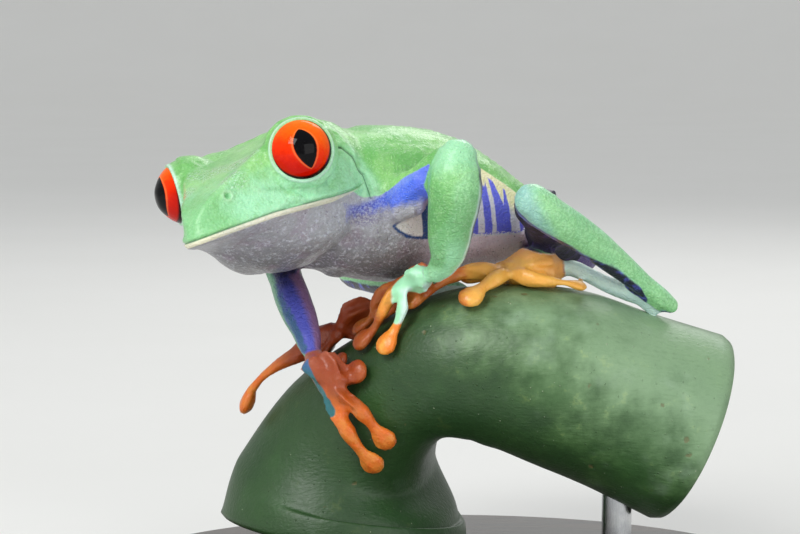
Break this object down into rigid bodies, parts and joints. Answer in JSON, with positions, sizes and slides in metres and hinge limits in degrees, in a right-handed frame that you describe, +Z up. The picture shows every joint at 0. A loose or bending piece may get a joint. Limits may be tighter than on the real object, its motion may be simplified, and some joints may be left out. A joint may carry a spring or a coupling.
{
  "type": "red-eyed tree frog model",
  "caption": "Life-size still model of a red-eyed tree frog gripping a bent cut stem with its fingers and toes, on a flat base with short rods.",
  "frame": {"origin": "centre of the stand base's underside", "axes": "+Z up, +X along the base's length towards the frog's tail end, -Y to the side the frog's left flank faces"},
  "size_m": [0.074, 0.056, 0.0526],
  "materials": {
    "skin_green": "smooth, slightly moist, fine granules",
    "skin_blue": "smooth, slightly moist",
    "skin_orange": "smooth, slightly moist",
    "eye_red": "wet gloss",
    "stem_green": "waxy satin, mottled",
    "stand_dark": "dark satin lacquer",
    "stand_metal": "satin"
  },
  "bodies": {
    "root": {"head": "skin_green", "trunk": "skin_green", "eye_left": "eye_red", "eye_right": "eye_red", "upper_arm_left": "skin_blue", "upper_arm_right": "skin_blue", "forearm_left": "skin_green", "forearm_right": "skin_green", "hand_left": "skin_orange", "hand_right": "skin_orange", "thigh_left": "skin_blue", "thigh_right": "skin_blue", "shank_left": "skin_green", "shank_right": "skin_green", "tarsus_left": "skin_green", "tarsus_right": "skin_green", "foot_left": "skin_orange", "foot_right": "skin_orange", "perch_stem": "stem_green", "stand_base": "stand_dark", "stand_rod_left": "stand_metal", "stand_rod_right": "stand_metal"}
  },
  "joints": []
}
